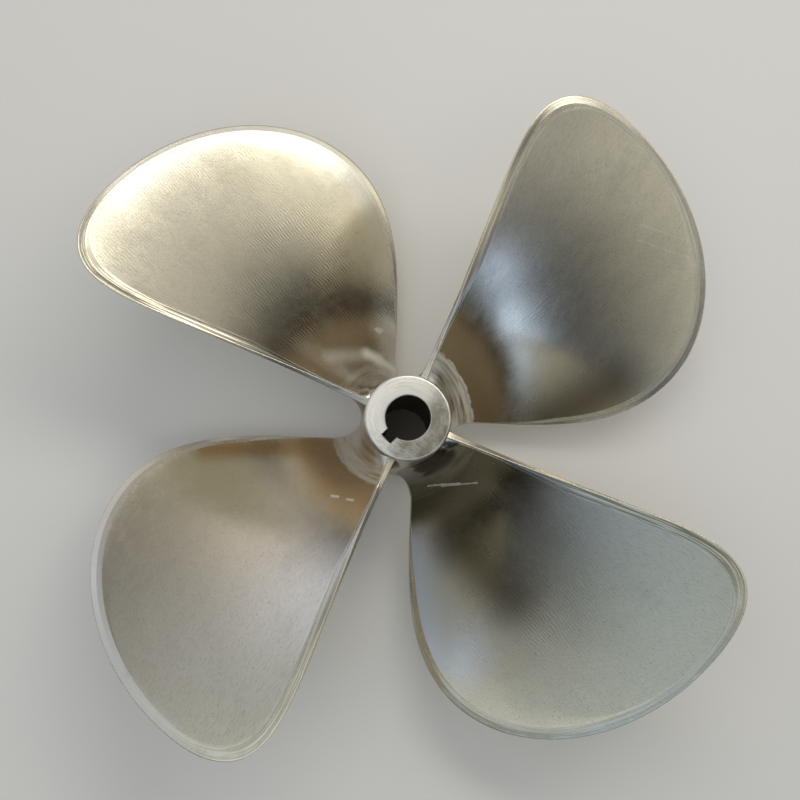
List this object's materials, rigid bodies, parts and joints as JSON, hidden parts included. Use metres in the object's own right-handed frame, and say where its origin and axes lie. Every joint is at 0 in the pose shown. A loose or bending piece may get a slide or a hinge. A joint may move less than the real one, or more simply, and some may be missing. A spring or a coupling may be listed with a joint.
{
  "type": "ship propeller",
  "caption": "Cast bronze fixed-pitch ship propeller with broad raked blades and a hub with a tapered, keyed bore, for an inboard shaft.",
  "frame": {"origin": "on the shaft axis at the hub's forward end face, on which the propeller stands", "axes": "+Z along the shaft towards the stern, so the blades' working faces look up; -X is the side of the keyway"},
  "size_m": [0.481, 0.481, 0.1253],
  "materials": {
    "bronze": "satin"
  },
  "bodies": {
    "root": {"propeller": "bronze"}
  },
  "joints": []
}
